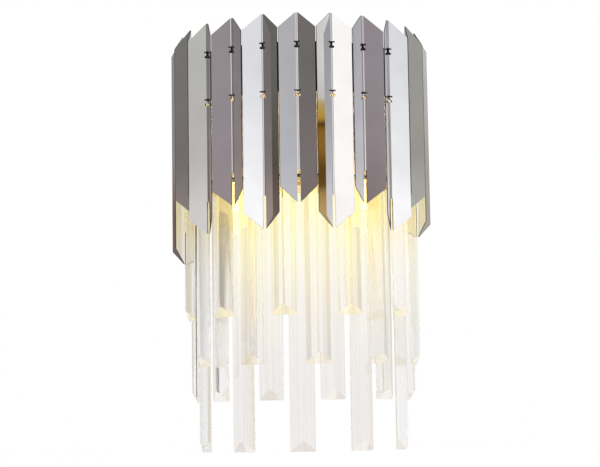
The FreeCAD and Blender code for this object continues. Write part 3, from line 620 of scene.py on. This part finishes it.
def makePlate(length):
    tipX, tipR, centreR, slope = plateSection()
    bendX = plate["foldRadius"] * math.sin(slope)
    bendR = centreR - plate["foldRadius"] * math.cos(slope)
    top, bottom = plate["top"], plate["top"] - length
    wing = Vector((tipX - bendX, -(tipR - bendR), 0))
    # left wing as a plane, tip to bend, then the fold spun round and the right wing drawn out
    middle = ((-tipX - bendX) / 2, fan["axisY"] - (tipR + bendR) / 2, (top + bottom) / 2)
    turn = math.atan2(-wing.y, wing.x)
    obj = addPrimitive("plane", middle, (wing.length, length, 1), (math.pi / 2, 0, turn), size=1)
    bpy.ops.object.mode_set(mode="EDIT")
    pickParts(obj, "edges", lambda e: all(v.co.x > -(tipX + bendX) / 2 for v in e.verts))
    bpy.ops.mesh.spin(steps=plate["foldSteps"], angle=2 * slope, center=(0, fan["axisY"] - centreR, 0),
                      axis=(0, 0, 1))
    bpy.ops.mesh.extrude_region_move(TRANSFORM_OT_translate={"value": wing})
    # pointed outline
    backX = tipX + plate["sheet"] * math.sin(slope)
    for side in (-1, 1):
        cutAway((0, 0, top), (side * plate["topDrop"], 0, backX))
        cutAway((0, 0, bottom), (side * plate["lowDrop"], 0, -backX))
    # rounded wing corners
    pickParts(obj, "verts", lambda v: abs(v.co.x) > tipX * 0.99)
    bpy.ops.mesh.bevel(affect="VERTICES", offset=plate["corner"], segments=4)
    bpy.ops.mesh.select_all(action="SELECT")
    bpy.ops.mesh.remove_doubles(threshold=plate["mergeDistance"])
    bpy.ops.mesh.normals_make_consistent(inside=False)
    bpy.ops.object.mode_set(mode="OBJECT")
    if sum(f.normal.y * f.area for f in obj.data.polygons) > 0:
        obj.data.flip_normals()
    obj.data.materials.append(finishes["mirror_steel"])
    obj.data.materials.append(cutEdge)
    applyModifier(obj, "SOLIDIFY", thickness=plate["sheet"], offset=-1, use_even_offset=True,
                  material_offset_rim=1)
    # slit with its round end, then the two cut-outs
    slitTop = bottom + plate["slitLength"] - plate["slitWidth"] / 2
    cutHole(obj, slotCutter(plate["slitWidth"], bottom - plate["slitOverrun"], slitTop))
    roundEnd = addPrimitive("cylinder", (0, fan["axisY"] - plate["foldBack"], slitTop), (1, 1, 1),
                            (math.pi / 2, 0, 0), radius=plate["slitWidth"] / 2, depth=plate["cutDepth"],
                            vertices=24)
    roundEnd.data.materials.append(cutEdge)
    cutHole(obj, roundEnd)
    for high in plate["cutoutTops"]:
        low = high - plate["cutoutHeight"]
        cutHole(obj, slotCutter(plate["bar"][0], high - plate["bar"][1], high))
        cutHole(obj, slotCutter(plate["stem"], low + plate["overlap"], high - plate["overlap"]))
        cutHole(obj, slotCutter(plate["foot"][0], low, low + plate["foot"][1]))
    applyModifier(obj, "BEVEL", width=plate["rimBevel"], segments=2, limit_method="ANGLE",
                  angle_limit=math.radians(plate["bevelAngle"]), material=1)
    smoothByAngle(obj, plate["smoothAngle"])
    applyModifier(obj, "WEIGHTED_NORMAL", weight=100, keep_sharp=True)
    return obj


plateModels = {kind: makePlate(plate[kind + "Length"]) for kind in ("short", "long", "end")}
for place in wholePlaces:
    kind = "end" if place == -halfFan else "long" if place % 2 else "short"
    obj = placeCopy(plateModels[kind], sideName("mirror_plate", place), fanTurn(place))
    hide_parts(sideName("fold_plate", place))
    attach(obj, "lamp_body")
for model in plateModels.values():
    bpy.data.objects.remove(model)
print("plates folded")

# crystals
prism = {
    "width": 0.023,
    "depth": 0.0072,
    "sideEdge": 0.0012,  # thickness left at the side edges
    "slant": 0.010,  # ridge ends this much higher than the back
    "outerLengths": (0.125, 0.1695),
    "innerLengths": (0.202, 0.2485),
    "outerBack": 0.109,  # back of the outer ring, from the axis
    "innerBack": 0.1005,
    "top": -0.10175,
    "holeLevel": -0.10925,
    "holeRadius": 0.00088,
    "drillDepth": 0.02,
    "arris": 0.00022,
    "bevelAngle": 22,
    "smoothAngle": 20,
    "nearZero": 1e-5,
}


def makePrism(length):
    # a thin slab, its front drawn out along the middle to the ridge and cut off slantwise below
    back = fan["axisY"] - prism["outerBack"]
    front = back - prism["sideEdge"]
    ridge = back - prism["depth"]
    top, bottom = prism["top"], prism["top"] - length
    obj = addPrimitive("cube", (0, (back + front) / 2, (top + bottom) / 2),
                       (prism["width"], prism["sideEdge"], length), size=1)
    bpy.ops.object.mode_set(mode="EDIT")
    bpy.ops.mesh.select_all(action="SELECT")
    bpy.ops.mesh.bisect(plane_co=(0, back, bottom), plane_no=(1, 0, 0))

    def isFront(v):
        return v.co.y < (back + front) / 2

    def isMiddle(v):
        return abs(v.co.x) < prism["nearZero"]

    def isLow(v):
        return v.co.z < (top + bottom) / 2

    pickParts(obj, "verts", lambda v: isFront(v) and isMiddle(v))
    bpy.ops.transform.translate(value=(0, ridge - front, 0))
    pickParts(obj, "verts", lambda v: isFront(v) and isMiddle(v) and isLow(v))
    bpy.ops.transform.translate(value=(0, 0, prism["slant"]))
    pickParts(obj, "verts", lambda v: isFront(v) and not isMiddle(v) and isLow(v))
    bpy.ops.transform.translate(value=(0, 0, prism["slant"] * prism["sideEdge"] / prism["depth"]))
    bpy.ops.object.mode_set(mode="OBJECT")
    drill = addPrimitive("cylinder", (0, (back + ridge) / 2, prism["holeLevel"]), (1, 1, 1),
                         (math.pi / 2, 0, 0), radius=prism["holeRadius"], depth=prism["drillDepth"],
                         vertices=20)
    cutHole(obj, drill)
    applyModifier(obj, "BEVEL", width=prism["arris"], segments=2, limit_method="ANGLE",
                  angle_limit=math.radians(prism["bevelAngle"]))
    obj.data.materials.clear()
    obj.data.materials.append(finishes["crystal"])
    smoothByAngle(obj, prism["smoothAngle"])
    return obj


def placePrisms(ring, places, lengthOf, inward):
    models = {}
    for place in places:
        length = lengthOf(place)
        if length not in models:
            models[length] = makePrism(length)
        node = sideName(ring + "_prism", place)
        obj = placeCopy(models[length], sideName("crystal_" + ring, place),
                        fanTurn(place) @ Matrix.Translation((0, inward, 0)))
        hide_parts(node)
        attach(obj, node)
    for model in models.values():
        bpy.data.objects.remove(model)


# both rings alternate: longest in the middle of the inner one, at the right end of the outer one
placePrisms("outer", halfPlaces, lambda k: prism["outerLengths"][math.ceil(k) % 2], 0)
placePrisms("inner", wholePlaces, lambda k: prism["innerLengths"][(k + 1) % 2],
            prism["outerBack"] - prism["innerBack"])
print("crystals hung")

# floor, studio and camera
studio = {
    "diffuseLevel": 0.85,
    # what polished metal sees, by degrees from straight in front towards the viewer's right,
    # high up
    "cardsHigh": [
        (-180, grey(0.75)), (-160, grey(0.08)), (-130, grey(0.15)), (-104, grey(0.36)),
        (-98, (0.12, 0.12, 0.11)), (-86, (0.26, 0.24, 0.22)), (-72, (0.2, 0.19, 0.19)),
        (-62, (0.16, 0.15, 0.14)), (-53, (0.15, 0.145, 0.14)), (-51.6, (0.28, 0.24, 0.24)),
        (-46, (0.45, 0.44, 0.41)), (-36.5, (0.52, 0.52, 0.49)), (-32, (1.08, 1.05, 1.02)),
        (-22, (1.0, 0.97, 0.96)), (-14, (0.6, 0.56, 0.57)), (-8, (0.32, 0.29, 0.3)),
        (3, (0.31, 0.27, 0.29)), (14, (0.5, 0.49, 0.52)), (22, (0.78, 0.79, 0.82)),
        (36, (0.78, 0.79, 0.81)), (45, (0.52, 0.52, 0.55)), (53, (0.56, 0.55, 0.59)),
        (54.6, (0.34, 0.34, 0.36)), (60, (0.51, 0.51, 0.54)), (66, (0.35, 0.345, 0.32)),
        (80, (0.36, 0.34, 0.31)), (86, (0.1, 0.09, 0.08)), (93.9, grey(0.02)), (94.4, grey(0.9)),
        (97, grey(0.75)), (103, grey(0.42)), (180, grey(0.5)),
    ],
    # lower down
    "cardsLow": [
        (-180, grey(0.75)), (-160, grey(0.08)), (-130, grey(0.1)), (-104, (0.46, 0.43, 0.41)),
        (-101, (0.16, 0.13, 0.12)), (-94, (0.06, 0.05, 0.04)), (-86, (0.22, 0.2, 0.18)),
        (-72, (0.19, 0.17, 0.165)), (-65, (0.2, 0.17, 0.17)), (-53, (0.2, 0.18, 0.17)),
        (-51.6, (0.32, 0.26, 0.26)), (-46, (0.48, 0.46, 0.45)), (-36.5, (0.54, 0.52, 0.51)),
        (-32, (1.08, 1.05, 1.02)), (-22, (1.0, 0.97, 0.96)), (-14, (0.6, 0.56, 0.57)),
        (-8, (0.33, 0.29, 0.31)), (3, (0.28, 0.24, 0.25)), (14, (0.6, 0.59, 0.61)),
        (22, (0.96, 0.96, 0.98)), (36, (0.93, 0.93, 0.95)), (45, (0.66, 0.66, 0.7)),
        (53, (0.65, 0.64, 0.67)), (54.6, (0.52, 0.52, 0.54)), (60, (0.55, 0.56, 0.61)),
        (66, (0.36, 0.34, 0.31)), (80, (0.36, 0.34, 0.31)), (86, (0.2, 0.14, 0.06)),
        (97, (0.5, 0.45, 0.35)), (103, (0.38, 0.37, 0.34)), (180, grey(0.5)),
    ],
    # lowest
    "cardsBottom": [
        (-180, grey(0.5)), (-106, (0.16, 0.11, 0.09)), (-100, (0.2, 0.15, 0.13)), (-94, (0.12, 0.09, 0.07)),
        (-86, (0.24, 0.21, 0.2)), (-71, (0.27, 0.23, 0.22)), (-63, (0.21, 0.17, 0.16)),
        (-56, (0.37, 0.3, 0.26)), (-51, (0.38, 0.31, 0.27)), (-46, (0.55, 0.54, 0.52)),
        (-36.5, (0.7, 0.69, 0.67)), (-32, (1.1, 1.05, 1.03)), (-22, (1.0, 0.97, 0.96)),
        (-14, (0.6, 0.56, 0.57)), (-6, (0.34, 0.29, 0.3)), (3, (0.23, 0.18, 0.18)), (14, (0.7, 0.68, 0.7)),
        (22, (1.08, 1.08, 1.1)), (36, (1.05, 1.05, 1.06)), (45, (0.85, 0.84, 0.87)),
        (53, (0.78, 0.77, 0.8)), (56, (0.76, 0.75, 0.77)), (60, (0.62, 0.63, 0.68)),
        (66, (0.46, 0.47, 0.44)), (80, (0.42, 0.41, 0.38)), (97, (0.44, 0.41, 0.37)),
        (104, (0.42, 0.38, 0.36)), (110, (0.2, 0.14, 0.09)), (180, grey(0.5)),
    ],
    "cardLevels": (0.128, 0.154, 0.208),  # upward part of the direction for bottom, low and high
    # brown card on the right, its tones running from low to top, given in the same way
    "brownCard": {"from": 90.0, "to": 96.0, "low": 0.12, "top": 0.1895,
                  "tones": [(0.1, (0.5, 0.34, 0.14)), (0.24, (0.4, 0.24, 0.08)), (0.3, (0.1, 0.05, 0.01)),
                            (0.48, (0.13, 0.065, 0.01)), (0.6, (0.26, 0.13, 0.02)),
                            (0.76, (0.24, 0.12, 0.015)), (0.8, (0.03, 0.015, 0.004)),
                            (0.85, (0.5, 0.29, 0.05)), (0.93, (0.5, 0.33, 0.09)), (1.0, (0.5, 0.4, 0.26))]},
    # what the glass bends the eye to: white behind, cards of the room to the sides
    "throughGlass": [
        (-180, grey(0.93)), (-178.5, (0.8, 0.78, 0.78)), (-173.5, (0.8, 0.78, 0.78)), (-172, grey(0.97)),
        (-160, grey(0.97)), (-157, (0.97, 0.95, 0.88)), (-153.5, (0.82, 0.78, 0.7)),
        (-145, (0.72, 0.66, 0.56)), (-140, (0.74, 0.68, 0.58)), (-136, grey(0.9)), (-123.5, grey(0.85)),
        (-118, grey(0.8)), (-115, grey(0.74)), (-114.9, grey(0.25)), (-114, grey(0.25)),
        (-113.9, grey(0.64)), (-112.4, grey(0.72)), (-111, grey(0.97)), (-98.4, grey(0.95)),
        (-98.1, (0.09, 0.07, 0.07)), (-92.9, (0.09, 0.07, 0.07)), (-92.3, grey(0.88)),
        (-71, (0.7, 0.69, 0.74)), (-50, (0.72, 0.71, 0.75)), (-38, grey(0.92)), (-8, (0.9, 0.87, 0.86)),
        (4, (0.9, 0.87, 0.86)), (40, grey(0.98)), (140, grey(0.97)), (144, (0.88, 0.87, 0.84)),
        (154, (0.88, 0.87, 0.84)), (158, grey(0.97)),
    ],
    # brown strip for the crystals on the right, fading out upwards from full to end
    "throughBrown": {"from": 98.9, "to": 100.6, "full": 0.165, "end": 0.185, "colour": (0.8, 0.68, 0.48)},
    # narrow black strip that only rays four bounces deep pick up, in the crystals far to the left
    "throughBlack": {"from": -168.6, "to": -164.2, "depths": (3.5, 4.5)},
}


def cardsRamp(tree, around, name):
    return ramp(tree, around, [((degrees + 180) / 360, colour) for degrees, colour in studio[name]])


def withinAngles(tree, angle, card):
    return within(tree, angle, math.radians(card["from"]), math.radians(card["to"]))


def buildWorld():
    world = bpy.data.worlds.new("studio")
    bpy.context.scene.world = world
    world.use_nodes = True
    tree = world.node_tree
    background = tree.nodes["Background"]
    coords = addNode(tree, "ShaderNodeTexCoord")
    way = addNode(tree, "ShaderNodeSeparateXYZ", {"Vector": coords.outputs["Generated"]})
    up = way.outputs["Z"]
    forward = maths(tree, "MULTIPLY", way.outputs["Y"], -1.0)
    angle = maths(tree, "ARCTAN2", way.outputs["X"], forward)
    around = spread(tree, angle, 0.0, 1.0, -math.pi, math.pi)
    path = addNode(tree, "ShaderNodeLightPath")
    # cards that metal sees
    bottomLevel, lowLevel, highLevel = studio["cardLevels"]
    cards = mixColour(tree, spread(tree, up, 0.0, 1.0, bottomLevel, lowLevel),
                      cardsRamp(tree, around, "cardsBottom"), cardsRamp(tree, around, "cardsLow"))
    cards = mixColour(tree, spread(tree, up, 0.0, 1.0, lowLevel, highLevel), cards,
                      cardsRamp(tree, around, "cardsHigh"))
    brown = studio["brownCard"]
    onBrown = maths(tree, "MULTIPLY", withinAngles(tree, angle, brown), within(tree, up, -1.0, brown["top"]))
    brownTone = ramp(tree, spread(tree, up, 0.0, 1.0, brown["low"], brown["top"]), brown["tones"])
    cards = mixColour(tree, onBrown, cards, brownTone)
    # what shows through glass
    through = cardsRamp(tree, around, "throughGlass")
    warm = studio["throughBrown"]
    onWarm = maths(tree, "MULTIPLY", withinAngles(tree, angle, warm),
                   spread(tree, up, 1.0, 0.0, warm["full"], warm["end"]))
    through = mixColour(tree, onWarm, through, (*warm["colour"], 1))
    strip = studio["throughBlack"]
    onStrip = maths(tree, "MULTIPLY", withinAngles(tree, angle, strip),
                    within(tree, path.outputs["Ray Depth"], *strip["depths"]))
    through = mixColour(tree, onStrip, through, (0, 0, 0, 1))
    # seen through glass, polished metal meets the pale room too
    outside = maths(tree, "LESS_THAN", path.outputs["Transmission Depth"], 0.5)
    cards = mixColour(tree, outside, through, cards)
    colour = mixColour(tree, path.outputs["Is Glossy Ray"], (*grey(studio["diffuseLevel"]), 1), cards)
    colour = mixColour(tree, path.outputs["Is Transmission Ray"], colour, through)
    colour = mixColour(tree, path.outputs["Is Camera Ray"], colour, (1, 1, 1, 1))
    tree.links.new(colour, background.inputs["Color"])


floorLook = {
    "level": -0.42,
    "size": 12.0,
    "colour": (0.86, 0.86, 0.86),
    "colourPlay": 0.01,
    "cloudScale": 3.0,
    "roughness": 0.9,
    "lift": 0.3,  # light of its own, for the camera and through glass only
}


def buildFloor():
    size = floorLook["size"]
    floor = addPrimitive("plane", (0, 0, floorLook["level"]), (size, size, 1), size=1)
    floor.name = "floor"
    mat, tree, shader = startMaterial("paleFloor")
    cloud = noise(tree, objectCoords(tree), floorLook["cloudScale"])
    colour = floorLook["colour"]
    tree.links.new(twoTone(tree, cloud, lighter(colour, -floorLook["colourPlay"]), colour),
                   shader.inputs["Base Color"])
    shader.inputs["Roughness"].default_value = floorLook["roughness"]
    path = addNode(tree, "ShaderNodeLightPath")
    seen = maths(tree, "MAXIMUM", path.outputs["Is Camera Ray"], path.outputs["Is Transmission Ray"])
    shader.inputs["Emission Color"].default_value = (1, 1, 1, 1)
    tree.links.new(maths(tree, "MULTIPLY", seen, floorLook["lift"]), shader.inputs["Emission Strength"])
    floor.data.materials.append(mat)


def addLight(name, kind, location, watts):
    # lights the surfaces but doesn't show in metal or glass
    light = bpy.data.lights.new(name, kind)
    light.energy = watts
    obj = bpy.data.objects.new(name, light)
    obj.location = location
    obj.visible_glossy = False
    obj.visible_transmission = False
    bpy.context.scene.collection.objects.link(obj)
    return obj


softKey = {
    "location": (-1.0, -1.4, 1.2),
    "target": (0, -0.06, -0.1),
    "size": 1.2,
    "watts": 8,
}


def addSoftKey():
    obj = addLight("softKey", "AREA", softKey["location"], softKey["watts"])
    obj.data.size = softKey["size"]
    toTarget = Vector(softKey["target"]) - Vector(softKey["location"])
    obj.rotation_euler = toTarget.to_track_quat("-Z", "Y").to_euler()


def addBulbLight(side):
    low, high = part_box("bulb_filament_" + side)
    obj = addLight("bulbLight_" + side, "POINT", (low + high) / 2, bulbLook["lampWatts"])
    obj.data.color = bulbLook["lampColour"]
    obj.data.shadow_soft_size = bulbLook["lampRadius"]
    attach(obj, "lamp_body")


buildWorld()
buildFloor()
addSoftKey()
for side in ("left", "right"):
    addBulbLight(side)

view = {
    "location": (0.0241, -1.6587, -0.32945),
    # in radians
    "yaw": -0.0155,
    "pitch": 0.1134,
    "roll": -0.0153,
    "lens": 102.84,  # millimetres, as is the width of the sensor
    "sensor": 36.0,
}


def placeCamera():
    camera = bpy.data.cameras.new("camera")
    camera.lens = view["lens"]
    camera.sensor_width = view["sensor"]
    camera.sensor_fit = "HORIZONTAL"
    obj = bpy.data.objects.new("camera", camera)
    turn = Matrix.Rotation(-view["yaw"], 4, "Z") @ Matrix.Rotation(math.pi / 2 + view["pitch"], 4, "X")
    obj.matrix_world = Matrix.Translation(view["location"]) @ turn @ Matrix.Rotation(view["roll"], 4, "Z")
    bpy.context.scene.collection.objects.link(obj)
    bpy.context.scene.camera = obj


placeCamera()
bpy.context.scene.view_settings.view_transform = "Standard"
print("studio ready")
